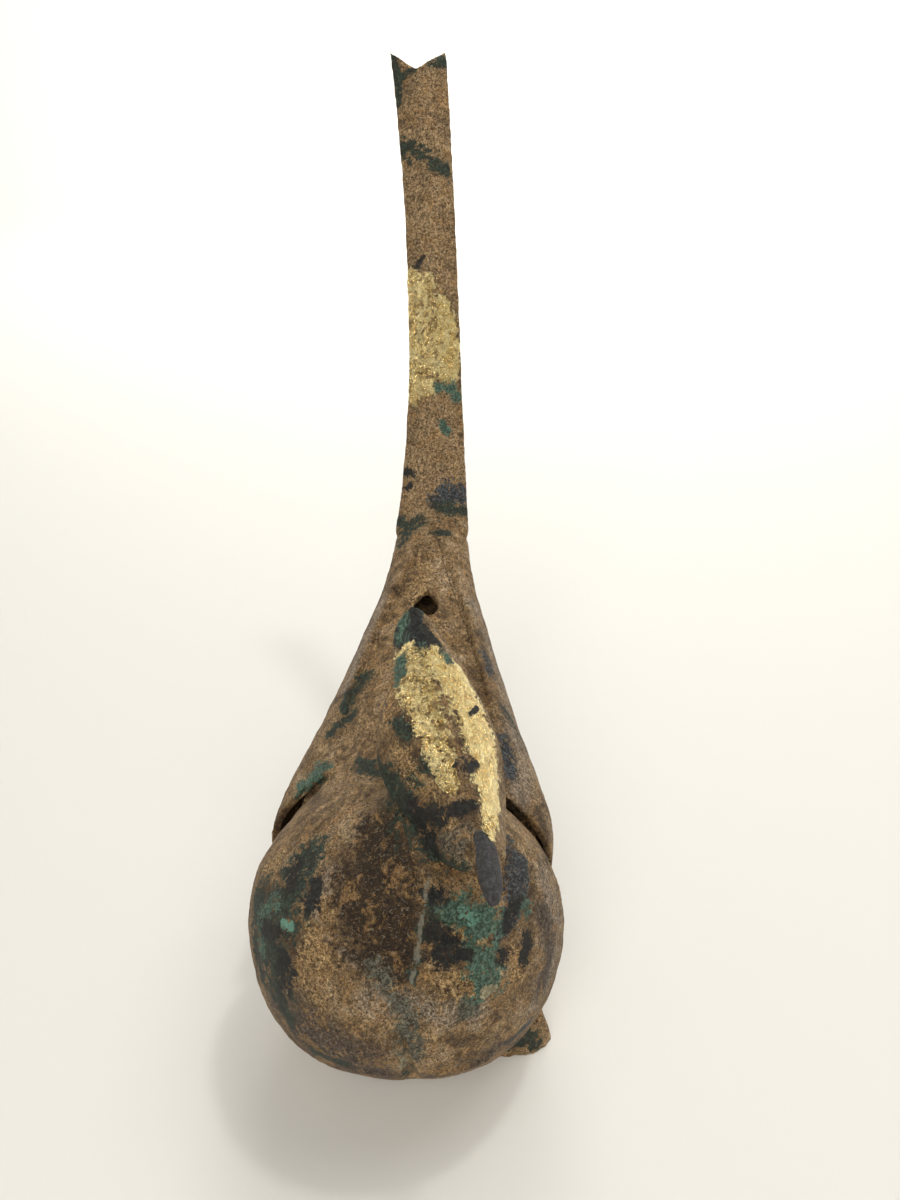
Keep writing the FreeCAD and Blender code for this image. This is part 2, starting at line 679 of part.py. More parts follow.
def sketch_of(body, name, curves, level):
    """Sketch on the body's ground plane, lifted to level, holding the given closed outline."""
    sketch = body.newObject("Sketcher::SketchObject", name)
    sketch.AttachmentSupport = (origin_plane(body, "XY_Plane"), [""])
    sketch.MapMode = "FlatFace"
    sketch.AttachmentOffset = FreeCAD.Placement(V(0, 0, 0), FreeCAD.Rotation())
    sketch.setExpression("AttachmentOffset.Base.z", level)
    for curve in curves:
        if isinstance(curve, Part.Arc):
            edge = curve.toShape()
            curve = Part.ArcOfCircle(edge.Curve, edge.FirstParameter, edge.LastParameter)
        sketch.addGeometry(curve, False)
    return sketch


pan_gap = size("pan_gap")
pan = doc.addObject("PartDesign::Body", "ash_pan_body")
pan_outline = sketch_of(pan, "pan_outline", access_plan(-pan_gap), "Sizes.pan_floor_height")
pan_block = pan.newObject("PartDesign::Pad", "pan_block")
pan_block.Profile = pan_outline
pan_block.setExpression("Length", "Sizes.pan_height")
doc.recompute()
pan_hollow = sketch_of(pan, "pan_hollow_outline", access_plan(-pan_gap - size("pan_sheet")),
                       "Sizes.pan_floor_height + Sizes.pan_height")
pan_pocket = pan.newObject("PartDesign::Pocket", "pan_hollow")
pan_pocket.Profile = pan_hollow
pan_pocket.setExpression("Length", "Sizes.pan_height - Sizes.pan_sheet")
doc.recompute()

rest_boxes = []
for name, side in (("right", -1), ("left", 1)):
    rest = doc.addObject("Part::Box", "pan_rest_" + name)
    rest.setExpression("Length", "Sizes.body_width / 2")
    rest.setExpression("Width", "Sizes.rest_width")
    rest.setExpression("Height", "Sizes.rest_depth")
    start = "Sizes.lid_width / 2 - Sizes.seat_width - Sizes.pan_gap - Sizes.rest_overlap"
    rest.setExpression(".Placement.Base.x", start if side > 0 else "-Sizes.body_width / 2 - (" + start + ")")
    rest.setExpression(".Placement.Base.y", "Sizes.lid_front + Sizes.lid_corner")
    rest.setExpression(".Placement.Base.z", "Sizes.pan_floor_height - Sizes.rest_depth")
    rest_boxes.append(rest)
rear_rest = doc.addObject("Part::Box", "pan_rest_rear")
rear_rest.setExpression("Length", "Sizes.rest_width")
rear_rest.setExpression("Width", "Sizes.body_reach")
rear_rest.setExpression("Height", "Sizes.rest_depth")
rear_rest.setExpression(".Placement.Base.x", "-Sizes.rest_width / 2")
rear_rest.setExpression(".Placement.Base.y", "Sizes.lid_front + Sizes.seat_width + Sizes.access_length"
                        " - Sizes.pan_gap - Sizes.rest_overlap")
rear_rest.setExpression(".Placement.Base.z", "Sizes.pan_floor_height - Sizes.rest_depth")
rest_boxes.append(rear_rest)
pan_rests = common("pan_rests_body", [fuse("pan_rest_boxes", rest_boxes), hull_inner])
doc.recompute()

# ---------------------------------------------------------------- feet

# Plan of a foot: share of its sideways reach, share of foot_front (forward is positive).
TOES = [(0.26, 0.76), (0.42, 0.74), (0.60, 0.62), (0.82, 0.56), (1.00, 0.33)]
HEEL = [(1.00, 0.33), (0.90, -0.10), (0.70, -0.48), (0.48, -0.60), (0.28, -0.45)]
FOOT_TAPER = 0.93
RIVET_PLACE = (0.78, 0.2)


def foot_outline(side, foot_reach, foot_front, level, taper):
    toes = [V(side * x * foot_reach * taper, -y * foot_front * taper, level) for x, y in TOES]
    heel = [V(side * x * foot_reach * taper, -y * foot_front * taper, level) for x, y in HEEL]
    return Part.Wire([spline(toes), spline(heel), Part.makeLine(heel[-1], toes[0])])


feet = {}
foot_rods = []
for name, side in (("right_foot", -1), ("left_foot", 1)):
    foot_reach = half_width - size(name + "_tuck")
    foot_front = size(name + "_front")
    form = feature(name + "_form", Part.makeLoft([
        foot_outline(side, foot_reach, foot_front, 0.0, 1.0),
        foot_outline(side, foot_reach, foot_front, size("foot_height"), FOOT_TAPER)], True, False))
    rod = doc.addObject("Part::Cylinder", name + "_rivet_rod")
    rod.setExpression("Radius", "Sizes.foot_rivet_diameter / 2")
    rod.setExpression("Height", "Sizes.shoulder_height / 2")
    rod.setExpression(".Placement.Base.x", "%d * %g * (Sizes.body_width / 2 - Sizes.%s_tuck)"
                      % (side, RIVET_PLACE[0], name))
    rod.setExpression(".Placement.Base.y", "-%g * Sizes.%s_front" % (RIVET_PLACE[1], name))
    rod.setExpression(".Placement.Base.z", "Sizes.wall / 2")
    foot_rods.append(rod)
    foot_blank = cut(name + "_blank", form, hull_outer)
    feet[name] = cut(name + "_body", foot_blank, rod)
foot_rod_pair = fuse("foot_rivet_rods", foot_rods)
foot_rivets = cut("foot_rivets_body", foot_rod_pair, hull_inner)
doc.recompute()

# ---------------------------------------------------------------- core plug

PLUG_RIVETS = 3
PLUG_RIVET_CIRCLE = 0.83


def disc(name, diameter, base, top):
    """Upright cylinder under the belly; diameter, base and top are sheet expressions."""
    item = doc.addObject("Part::Cylinder", name)
    item.setExpression("Radius", "(%s) / 2" % diameter)
    item.setExpression("Height", "(%s) - (%s)" % (top, base))
    item.setExpression(".Placement.Base.y", "Sizes.plug_place")
    item.setExpression(".Placement.Base.z", base)
    return item


plug_top = "Sizes.plug_gap + Sizes.plug_thickness"
plug_recess = disc("plug_recess", "Sizes.plug_diameter + 2 * Sizes.plug_gap", "-Sizes.wall", plug_top)
core_hole = disc("core_hole", "Sizes.core_hole_diameter", "0", "2 * Sizes.wall")
plug_disc = disc("plug_disc", "Sizes.plug_diameter", "Sizes.plug_gap", plug_top)
plug_rods = []
for index in range(PLUG_RIVETS):
    rod = disc("plug_rivet_rod_%d" % (index + 1), "Sizes.plug_rivet_diameter", "Sizes.plug_gap",
               "Sizes.wall")
    angle = 90 + 360 * index / PLUG_RIVETS
    radius = "%g * Sizes.plug_diameter / 2" % PLUG_RIVET_CIRCLE
    rod.setExpression(".Placement.Base.x", "%s * cos(%g deg)" % (radius, angle))
    rod.setExpression(".Placement.Base.y", "Sizes.plug_place + %s * sin(%g deg)" % (radius, angle))
    plug_rods.append(rod)
core_plug_rivets = fuse("core_plug_rivets_body", plug_rods)
core_plug = cut("core_plug_body", plug_disc, core_plug_rivets)
doc.recompute()

# ---------------------------------------------------------------- body holes

body = body_flat
for name, tool in (("tail_socket", socket), ("tail_pins", pin_rod_pair), ("foot_rivets", foot_rod_pair),
                   ("plug_recess", plug_recess), ("core_hole", core_hole),
                   ("plug_rivets", core_plug_rivets)):
    body = cut("body_less_" + name, body, tool)
doc.recompute()

# ---------------------------------------------------------------- subcomponents

PARTS = {
    "body_shell": body,
    "head": head,
    "left_wing": left_wing,
    "right_wing": right_wing,
    "tail": tail,
    "tail_pins": tail_pins,
    "lid": lid,
    "ash_pan": pan,
    "pan_rests": pan_rests,
    "left_foot": feet["left_foot"],
    "right_foot": feet["right_foot"],
    "foot_rivets": foot_rivets,
    "core_plug": core_plug,
    "core_plug_rivets": core_plug_rivets,
}
PIECES_IN = {"tail_pins": 2, "pan_rests": 3, "foot_rivets": 2, "core_plug_rivets": PLUG_RIVETS}

for item in doc.Objects:
    if "Invalid" in item.State or "Error" in item.State:
        raise RuntimeError("%s did not rebuild: %s" % (item.Name, item.State))
os.makedirs("parts", exist_ok=True)
for name, item in PARTS.items():
    shape = item.Shape
    if shape.isNull() or not shape.isValid():
        raise RuntimeError("%s has no valid shape" % name)
    if len(shape.Solids) != PIECES_IN.get(name, 1):
        raise RuntimeError("%s has %d solids" % (name, len(shape.Solids)))
    item.Label = name
    shape.exportStep("parts/%s.step" % name)
    print("%-18s %8.2f cm3" % (name, shape.Volume / 1000))
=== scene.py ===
import math

import bmesh
import bpy
import numpy as np
from mathutils import Matrix, Vector, noise
from mathutils.bvhtree import BVHTree


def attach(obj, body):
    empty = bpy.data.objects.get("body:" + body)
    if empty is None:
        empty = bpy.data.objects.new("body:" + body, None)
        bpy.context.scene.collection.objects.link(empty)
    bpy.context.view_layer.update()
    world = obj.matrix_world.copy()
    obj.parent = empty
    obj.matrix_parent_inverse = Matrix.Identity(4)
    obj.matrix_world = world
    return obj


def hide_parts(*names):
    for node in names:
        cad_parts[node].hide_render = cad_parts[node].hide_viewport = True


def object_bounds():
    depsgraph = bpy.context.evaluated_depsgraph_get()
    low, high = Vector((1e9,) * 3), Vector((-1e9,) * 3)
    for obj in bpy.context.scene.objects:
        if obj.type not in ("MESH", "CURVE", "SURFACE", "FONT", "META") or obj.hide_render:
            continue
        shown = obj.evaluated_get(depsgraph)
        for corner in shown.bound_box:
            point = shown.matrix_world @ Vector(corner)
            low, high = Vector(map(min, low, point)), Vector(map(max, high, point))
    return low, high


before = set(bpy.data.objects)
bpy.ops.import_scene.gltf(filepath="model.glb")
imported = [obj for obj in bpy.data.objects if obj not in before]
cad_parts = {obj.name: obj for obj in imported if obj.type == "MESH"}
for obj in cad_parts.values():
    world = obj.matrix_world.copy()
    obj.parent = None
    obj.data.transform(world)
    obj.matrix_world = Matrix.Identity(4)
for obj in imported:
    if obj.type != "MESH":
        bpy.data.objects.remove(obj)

cad_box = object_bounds()

# Dresses a bird-shaped incense burner. The castings get one common surface with relief and a
# patina; the fittings inside keep their solids, with materials of their own. +Z is up, the bird
# faces -Y and its left is +X.

MM = 0.001

# ---------------------------------------------------------------- common surface

# Nodes that are dressed together, so that their surfaces run on into each other.
CASTINGS = ("body_shell", "head", "left_wing", "right_wing", "tail", "lid", "left_foot", "right_foot")

FORM_VOXEL = 0.8 * MM
FORM_SMOOTHING = 3
SMOOTHING_SHARE = 0.5
# The common surface is set back a little, so that most of its relief stays inside the solids' box.
SET_BACK = 0.1 * MM
# Castings other than the lid grow by this much, which closes the joint lines between them.
SEAM_OVERLAP = 0.35 * MM
# A point of a casting moves onto the common surface when it lies this near and faces the same way.
SNAP_REACH = 1.6 * MM
SNAP_AGREEMENT = 0.35
# Small enough to merge points at, and to keep divisions away from zero.
TINY = 1e-6

# ---------------------------------------------------------------- relief, in millimetres

LUMP_HEIGHT = 0.30
LUMPS_PER_MM = 0.13
LUMP_OCTAVES = 3
LUMP_FALL = 1.0
GRAIN_HEIGHT = 0.13
GRAINS_PER_MM = 0.55
GRAIN_OCTAVES = 2
GRAIN_FALL = 0.7
GRAIN_SHIFT = Vector((31, 7, 3))
OCTAVE_RATIO = 2.0

# Hand-worked lines: height, up (+) or down (-), then points of the centre line with half widths.
WORKED_LINES = [
    # keel, rim of the hollow beside it
    (0.50, [(11, -24, 99, 1.0), (10, -32, 91, 1.0), (8, -38, 85, 1.0), (7, -42, 79, 1.0),
            (5, -45, 75, 0.8)]),
    (0.45, [(-26, -18, 93, 2.0), (-25, -26, 88, 2.2), (-21, -33, 84, 2.2), (-14, -39, 81, 2.0),
            (-4, -44, 78, 1.6)]),
    # crease along the crown, swelling beside it
    (-0.45, [(2, 36, 148, 1.0), (9, 14, 138, 1.0), (14, -1, 130, 1.1), (17, -10, 124, 1.1),
             (20, -18, 120, 1.0)]),
    (0.30, [(14, 22, 140, 2.2), (19, 8, 132, 2.6), (23, -4, 125, 2.4)]),
    # notch at the bottom of the breast, its left lip with the groove above, its right lip
    (-2.60, [(4, -52, 60, 0.8), (5, -53, 54, 1.6), (5, -52, 47, 2.8), (5, -51, 40, 3.4),
             (5, -47, 32, 3.6), (5, -41, 24, 3.6)]),
    (1.30, [(13, -50, 42, 3.0), (20, -48, 40, 3.6), (28, -44, 41, 3.0)]),
    (-0.90, [(8, -52, 52, 1.2), (14, -52, 50, 1.5), (22, -49, 50, 1.5), (30, -45, 51, 1.2)]),
    (0.70, [(0, -50, 41, 2.8), (-8, -49, 40, 3.2), (-17, -47, 42, 2.8)]),
    # fold where the neck meets the right shoulder
    (-0.35, [(-22, 6, 104, 1.2), (-12, -4, 106, 1.4), (-2, -10, 104, 1.4)]),
]
# Hollow beside the keel: one wide stroke, at its full depth where its field is 1 / steepness.
HOLLOW = [(-4, -14, 100, 11), (-5, -26, 95, 14), (-3, -34, 89, 12), (1, -40, 83, 7)]
HOLLOW_DEPTH = 1.1
HOLLOW_STEEPNESS = 2.2
# Middles of the two eye rings, left and right.
EYES = [(28.8, -18.9, 113.2), (17.5, -22.4, 113.2)]
EYE_RING_RADIUS = 1.9
EYE_RING_WIDTH = 0.5
EYE_RING_DEPTH = 0.45
PUPIL_RADIUS = 1.0
PUPIL_HEIGHT = 0.25

# ---------------------------------------------------------------- patina marks, painted shade and light among them, in millimetres
# Each stroke: kind, then points of its centre line with half widths. Most places began as spots
# picked by eye in the photograph, which a small program carried onto the solids. They were then
# grouped and widened, and most were moved; about one point in five stands as it came.

STROKES = [
    # right flank of the breast: a large dark verdigris patch, black in places
    ("dark", [(-27, -13, 93, 5), (-31, -20, 87, 6.5), (-35, -26, 81, 8), (-39, -27, 75, 9),
              (-38, -32, 69, 8.5), (-36, -37, 63, 6), (-34, -41, 56, 4.4), (-33, -44, 50, 2.6)]),
    ("dark", [(-44, -14, 82, 3), (-46, -18, 74, 5), (-45, -24, 66, 5), (-42, -31, 58, 3.4)]),
    ("black", [(-23, -23, 91, 2.2), (-25, -28, 87, 2.8)]),
    ("black", [(-31, -16, 90, 2.4), (-33, -20, 86, 2.6)]),
    ("black", [(-32, -36, 70, 3.4), (-33, -38, 63, 2.8)]),
    ("black", [(-36, -29, 76, 3), (-41, -25, 72, 2.6)]),
    ("green", [(-37, -23, 80, 3), (-42, -22, 73, 3), (-42, -27, 66, 2.4)]),
    ("bright", [(-34, -29, 79, 1.7), (-31, -30, 80, 1.5)]),
    # ochre beside it
    ("ochre", [(-40, -10, 86, 3.6), (-44, -9, 80, 2.6)]),
    ("ochre", [(-20, -29, 88, 3.8), (-17, -35, 85, 3)]),
    ("ochre", [(-22, -35, 82, 4.4), (-19, -40, 78, 4.4), (-25, -38, 77, 3.6)]),
    ("ochre", [(-27, -41, 69, 3), (-20, -46, 67, 3)]),
    ("pale", [(-21, -26, 90, 3), (-19, -22, 94, 3)]),
    # hollow beside the keel
    ("hollow", [(-4, -13, 101, 11), (-5, -24, 96, 15), (-4, -32, 90, 15), (-1, -39, 84, 11),
                (2, -43, 79, 6)]),
    ("pale", [(-25, -27, 88, 1.6), (-21, -33, 84, 1.8), (-15, -39, 81, 1.8), (-4, -44, 78, 1.6)]),
    ("line", [(10, -26, 98, 0.7), (9, -32, 91, 0.7), (8, -38, 85, 0.7), (7, -42, 79, 0.6),
              (6, -45, 76, 0.5)]),
    ("dark", [(7, -42, 80, 1.5), (6, -45, 77, 1.5)]),
    ("bright", [(6, -46, 76, 1)]),
    # left side of the keel: black, green and ochre broken up together
    ("black", [(11, -29, 95, 2.6), (14, -30, 94, 2.6)]),
    ("black", [(12, -35, 87, 2.6), (16, -37, 83, 4.4), (14, -39, 81, 3), (20, -38, 80, 2.6)]),
    ("dark", [(12, -31, 92, 3), (11, -36, 86, 3)]),
    ("green", [(16, -31, 90, 4.4), (22, -31, 87, 6), (28, -30, 84, 5)]),
    ("bright", [(21, -30, 88, 1.7), (24, -31, 86, 1.4)]),
    ("green", [(22, -36, 80, 4), (27, -37, 77, 5.6), (28, -40, 72, 5)]),
    ("ochre", [(17, -33, 86, 2), (22, -35, 82, 3.2), (27, -34, 81, 2)]),
    ("ochre", [(11, -41, 79, 3), (18, -43, 74, 4.4), (23, -44, 69, 4)]),
    ("cream", [(27, -41, 68, 1.7), (29, -40, 68, 1.4)]),
    ("blue", [(35, -4, 91, 2.6), (37, -11, 87, 3.8), (36, -17, 85, 4.6), (36, -22, 82, 4.2),
              (33, -27, 81, 3.2), (30, -31, 80, 2.6)]),
    ("black", [(36, -20, 83, 2), (33, -27, 80, 2)]),
    ("black", [(40, -26, 74, 2.4), (38, -30, 70, 2.2)]),
    ("black", [(32, -34, 75, 2.2)]),
    ("green", [(38, -21, 80, 2.8)]),
    ("ochre", [(36, -31, 73, 2.6), (37, -34, 68, 2.4)]),
    # low on the breast
    ("slate", [(-4, -43, 79, 2.4), (0, -47, 73, 2.6), (5, -49, 68, 3.4), (6, -51, 62, 4.2),
               (6, -52, 54, 3.6)]),
    ("slate", [(22, -46, 65, 3.6)]),
    ("pale", [(24, -46, 64, 5), (12, -48, 68, 4), (-4, -48, 72, 5)]),
    ("cream", [(4, -52, 50, 1.8), (4, -51, 44, 1.6)]),
    # purple-brown along the underside of the breast on the bird's left: painted shade
    ("plum_and_shade", [(10, -47, 36, 4), (20, -46, 38, 4.6), (30, -43, 42, 4)]),
    ("dark", [(5, -52, 48, 1.6), (5, -50, 38, 2.0), (5, -44, 28, 2.0)]),
    # purple-brown under the breast on the bird's right: painted shade
    ("plum_and_shade", [(-4, -49, 40, 7), (-14, -50, 48, 12), (-26, -46, 52, 12), (-36, -37, 52, 7)]),
    # the dark line and the blue-grey line below: painted shade at the lower edge of the breast
    ("dark", [(-14, -50, 44, 1.8), (-24, -46, 43, 2)]),
    ("blue", [(34, -39, 42, 1.6), (40, -32, 42, 2)]),
    ("pale", [(46, -6, 78, 5), (48, -14, 70, 8), (48, -22, 58, 8), (44, -30, 50, 5)]),
    ("plum_and_shade", [(43, -17, 75, 3), (47, -20, 63, 4), (45, -28, 54, 4)]),
    # back and wings
    ("dark", [(-27, 54, 95, 2.6), (-24, 62, 98, 3), (-20, 68, 100, 2.6)]),
    ("dark", [(-31, 46, 91, 2.2), (-23, 51, 96, 2)]),
    ("dark", [(-17, 26, 95, 3), (-11, 19, 98, 2.6)]),
    ("green", [(-39, 27, 81, 3), (-35, 30, 85, 4), (-30, 30, 90, 2)]),
    ("blue", [(24, 81, 103, 2.6), (27, 74, 100, 2.6)]),
    ("blue", [(31, 46, 89, 2.4), (33, 38, 87, 3), (34, 32, 85, 2)]),
    ("dark", [(30, 60, 92, 2), (38, 50, 76, 3), (44, 38, 66, 3)]),
    ("green", [(48, 30, 60, 3), (44, 45, 58, 3)]),
    ("dark", [(-38, 50, 70, 4), (-30, 70, 76, 4), (-24, 88, 88, 3)]),
    ("ochre", [(-44, 34, 64, 5), (-36, 60, 62, 5)]),
    ("ochre", [(42, 52, 60, 5), (32, 74, 68, 5), (26, 92, 80, 4)]),
    ("pale", [(40, 28, 84, 6), (36, 48, 84, 6), (30, 66, 88, 5), (25, 86, 96, 4), (18, 104, 108, 4)]),
    ("pale", [(-18, 104, 112, 3), (-24, 84, 102, 3), (-29, 66, 97, 3)]),
    ("ochre", [(-2, 118, 118, 3), (-3, 104, 112, 4), (2, 92, 108, 4)]),
    ("dark", [(-13, 130, 126, 3), (-8, 134, 129, 3), (-4, 136, 130, 2)]),
    ("dark", [(1, 131, 129, 1.5), (7, 132, 128, 1.6)]),
    # band between head and neck
    ("dark", [(-8, 3, 115, 3), (-5, -1, 113, 5.4), (1, -8, 110, 7), (5, -12, 106, 6.6)]),
    ("black", [(6, -12, 110, 3.4), (10, -15, 111, 3.6), (14, -16, 114, 2.6), (17, -18, 117, 2.4),
               (23, -19, 119, 1.6)]),
    ("black", [(8, -16, 105, 2.8), (11, -19, 104, 2.6)]),
    ("dark", [(8, -16, 101, 3.4), (13, -22, 102, 3.2), (18, -27, 103, 3), (22, -31, 104, 2.4)]),
    # crown and cheeks
    ("dark", [(0, 6, 129, 3), (3, 3, 128, 3.4)]),
    ("dark", [(8, -6, 123, 2), (12, -9, 122, 1.4)]),
    ("tip", [(2, 42, 151, 4), (0, 36, 148, 5), (0, 30, 145, 6), (5, 27, 143, 6), (9, 27, 142, 3.4)]),
    ("green", [(0, 41, 151, 1.6), (-1, 36, 148, 1.8), (-3, 30, 144, 2.2)]),
    ("green", [(4, 33, 147, 1.2), (6, 28, 143, 1.4)]),
    ("green", [(-1, 23, 139, 2), (-2, 18, 136, 1.8)]),
    ("green", [(12, 26, 140, 1.6), (16, 23, 138, 1.2)]),
    ("ochre", [(-4, 16, 133, 2.4), (-5, 9, 128, 3)]),
    ("ochre", [(0, -2, 121, 4), (5, -7, 118, 4.4), (9, -11, 118, 3)]),
    ("ochre", [(17, -21, 113, 2.6)]),
    ("face", [(14, -22, 108, 3), (18, -25, 110, 4), (21, -24, 114, 3)]),
    ("beak", [(25, -27, 115, 2.6), (27, -30, 114, 4), (28, -37, 112, 4.6), (29, -46, 109, 4.5)]),
    ("black", [(19, -8, 124, 3.2), (23, -6, 124, 3)]),
    ("black", [(21, 9, 130, 1.6), (22, 12, 129, 1.4), (23, 15, 128, 1.6)]),
    ("black", [(2, 37, 149, 1.6), (4, 29, 144, 2.4)]),
    ("black", [(9, 27, 142, 2.4), (6, 33, 146, 1.6)]),
    # tail
    ("warm", [(-10, 252, 300, 10), (-9, 240, 272, 11), (-6, 210, 226, 12), (-3, 186, 188, 13),
              (0, 152, 140, 14)]),
    ("dark", [(-22, 254, 301, 2), (-20, 249, 292, 2.4), (-19, 242, 280, 1.4)]),
    ("dark", [(-16, 247, 290, 2), (-11, 247, 292, 1.4)]),
    ("dark", [(-6, 249, 294, 1.6), (1, 251, 295, 2)]),
    ("dark", [(-18, 233, 264, 3), (-12, 231, 262, 4), (-7, 229, 260, 3), (0, 227, 256, 2.8),
              (3, 226, 253, 2)]),
    ("black", [(-7, 207, 222, 1.4), (-11, 205, 218, 1.8)]),
    ("black", [(-15, 193, 193, 1.2)]),
    ("green", [(2, 178, 175, 2.4), (6, 179, 174, 3), (9, 178, 171, 2.4)]),
    ("green", [(3, 169, 162, 1.6), (5, 167, 159, 1.4)]),
    ("black", [(-12, 158, 144, 2), (-9, 156, 143, 1.4)]),
    ("black", [(-12, 153, 139, 1.8), (-8, 154, 140, 1.2)]),
    ("blue", [(3, 146, 136, 4), (8, 149, 138, 5.4), (13, 150, 137, 5.4)]),
    ("dark", [(3, 143, 134, 2.6), (13, 145, 132, 2.6)]),
    ("dark", [(-14, 141, 129, 3), (-10, 136, 127, 3.4), (-5, 138, 131, 2.4)]),
    # feet
    ("ochre", [(49, -10, 12, 4), (50, -12, 9, 3)]),
    ("dark", [(36, -17, 6, 2.4), (43, -15, 8, 3), (45, -15, 3, 2)]),
]
# Gold leaf: thin, with losses from wear, on the right of the crown, bright on its left; on the tail
# as well.
# The right is also painted duller as shade on the side turned from the light, the left brighter as
# painted light.
LEAF = [
    ("worn_shaded_leaf", [(1, 24, 140, 4.6), (4, 13, 137, 6.5), (7, 7, 133, 5.5), (10, -1, 129, 4.6),
                   (14, -8, 125, 4.2), (16, -13, 121, 2.8)]),
    ("worn_shaded_leaf", [(-12, 204, 215, 4.2), (-11, 190, 190, 5), (-10, 178, 171, 4)]),
    ("worn_shaded_leaf", [(-5, 203, 214, 4), (-4, 190, 194, 5), (-4, 178, 174, 4)]),
    ("bright_lit_leaf", [(10, 23, 141, 4.6), (17, 19, 136, 6.5), (22, 12, 130, 8), (25, 5, 125, 9),
                     (27, -2, 121, 8.5), (28, -9, 117, 7), (28, -16, 115, 4.6), (28, -22, 115, 3),
                     (29, -25, 115, 2)]),
    ("bright_lit_leaf", [(2, 197, 206, 3.4), (4, 192, 198, 5), (5, 186, 188, 6), (5, 181, 179, 5)]),
    ("hole", [(21, 9, 130, 1.1), (22, 12, 129, 1.0), (23, 15, 128, 1.1)]),
    ("hole", [(10, 3, 132, 0.9)]),
    ("hole", [(11, -1, 130, 0.6)]),
    ("hole", [(19, -8, 124, 2.6), (23, -6, 124, 2.4)]),
    ("hole", [(2, 188, 191, 0.7)]),
]

# The kinds of mark that each colour layer of a mesh stores in its four values.
CHANNELS = [
    ("marks_a", ("dark", "black", "green", "blue")),
    ("marks_b", ("ochre", "hollow", "slate", "pale")),
    ("marks_c", ("bright_lit_leaf", "worn_shaded_leaf", "hole", "tip")),
    ("marks_d", ("plum_and_shade", "beak", "face", "bright")),
    ("marks_e", ("inside", "warm", "line", "cream")),
]
# A field's value far from every stroke.
FAR_AWAY = -9.0

# ---------------------------------------------------------------- colours

BROWN = (0.135, 0.080, 0.035)
UMBER = (0.325, 0.202, 0.089)
TAN = (0.590, 0.378, 0.172)
SAND = (0.740, 0.540, 0.320)
SOOT = (0.012, 0.010, 0.008)
RUST = (0.56, 0.32, 0.12)
GROOVE_BROWN = (0.042, 0.025, 0.012)
FIBRE_BROWN = (0.050, 0.033, 0.018)
PALE_FLECK = (0.42, 0.34, 0.24)
STRAY_GREEN = ((0.012, 0.014, 0.010), (0.034, 0.040, 0.030), (0.10, 0.12, 0.09))
# Shade of the fine pits, which multiplies the colours below it.
STIPPLE = [(0.40, (0.27, 0.24, 0.21)), (0.47, (0.82, 0.81, 0.80)), (0.53, (1.0, 1.0, 1.0))]
# Shaded and lit copies of the gold: the lit one is painted a little brighter.
WORN_SHADED_GOLD = [(0.38, (0.40, 0.25, 0.09)), (0.45, (0.86, 0.62, 0.25)), (0.55, (1.0, 0.83, 0.42))]
BRIGHT_LIT_GOLD = [(0.38, (0.40, 0.24, 0.08)), (0.45, (0.88, 0.64, 0.25)), (0.58, (1.0, 0.86, 0.46))]

# Colours of each kind of mark: three that follow the fine specks from low to high, or one.
PALETTE = {
    "warm": ((0.36, 0.22, 0.10), (0.60, 0.39, 0.185), (0.80, 0.57, 0.32)),
    "pale": ((0.34, 0.26, 0.18), (0.54, 0.43, 0.31), (0.66, 0.55, 0.42)),
    "ochre": ((0.26, 0.145, 0.052), (0.62, 0.375, 0.145), (0.82, 0.58, 0.29)),
    "hollow": ((0.005, 0.003, 0.002), (0.028, 0.016, 0.007), (0.115, 0.066, 0.027)),
    "slate": ((0.08, 0.085, 0.07), (0.18, 0.19, 0.145), (0.28, 0.26, 0.18)),
    # purple-brown; where it lies under the breast it is painted shade
    "plum_and_shade": ((0.022, 0.014, 0.012), (0.105, 0.072, 0.052), (0.29, 0.22, 0.16)),
    "face": ((0.05, 0.05, 0.036), (0.23, 0.20, 0.14), (0.40, 0.31, 0.20)),
    "blue": ((0.010, 0.012, 0.015), (0.036, 0.042, 0.050), (0.17, 0.19, 0.19)),
    "dark": ((0.010, 0.013, 0.009), (0.030, 0.042, 0.029), (0.085, 0.12, 0.085)),
    "tip": ((0.010, 0.012, 0.012), (0.035, 0.045, 0.042), (0.10, 0.15, 0.11)),
    "green": ((0.022, 0.045, 0.032), (0.075, 0.145, 0.10), (0.18, 0.29, 0.21)),
    "bright": ((0.20, 0.42, 0.31),),
    "black": ((0.006, 0.006, 0.006), (0.014, 0.015, 0.014), (0.05, 0.055, 0.05)),
    "cream": ((0.20, 0.17, 0.09), (0.42, 0.37, 0.22), (0.58, 0.52, 0.36)),
    "line": ((0.34, 0.32, 0.24),),
    "beak": ((0.040, 0.040, 0.044), (0.075, 0.075, 0.078), (0.12, 0.12, 0.12)),
}
# How a mark's edge looks unless its row says otherwise: its softness, and how far it wanders.
CRISP = 0.04
RAGGED = 2.7
# Marks from the lowest to the highest: kind, softness, wander, share. The earths, with the
# painted shade under the breast, lie under the stipple of fine pits, the crusts over it.
EARTHS_AND_SHADE = [
    ("warm", 0.35, 1.0, 0.75),
    ("pale", 0.35, 1.0, 0.75),
    ("ochre", 0.1, 2.4, 1.0),
    ("hollow", 0.2, 1.8, 1.0),
    ("slate", 0.15, RAGGED, 1.0),
    ("plum_and_shade", 0.3, 1.2, 1.0),
    ("face", 0.2, 0.7, 1.0),
]
CRUSTS = [
    ("blue", CRISP, RAGGED, 1.0),
    ("dark", CRISP, RAGGED, 1.0),
    ("tip", CRISP, 0.6, 1.0),
    ("green", CRISP, RAGGED, 1.0),
    ("bright", 0.05, 2.0, 1.0),
    ("black", CRISP, RAGGED, 1.0),
    ("cream", 0.06, 1.4, 1.0),
    ("line", 0.2, 1.6, 0.75),
    ("beak", 0.05, 0.25, 1.0),
]


# ---------------------------------------------------------------- mesh helpers

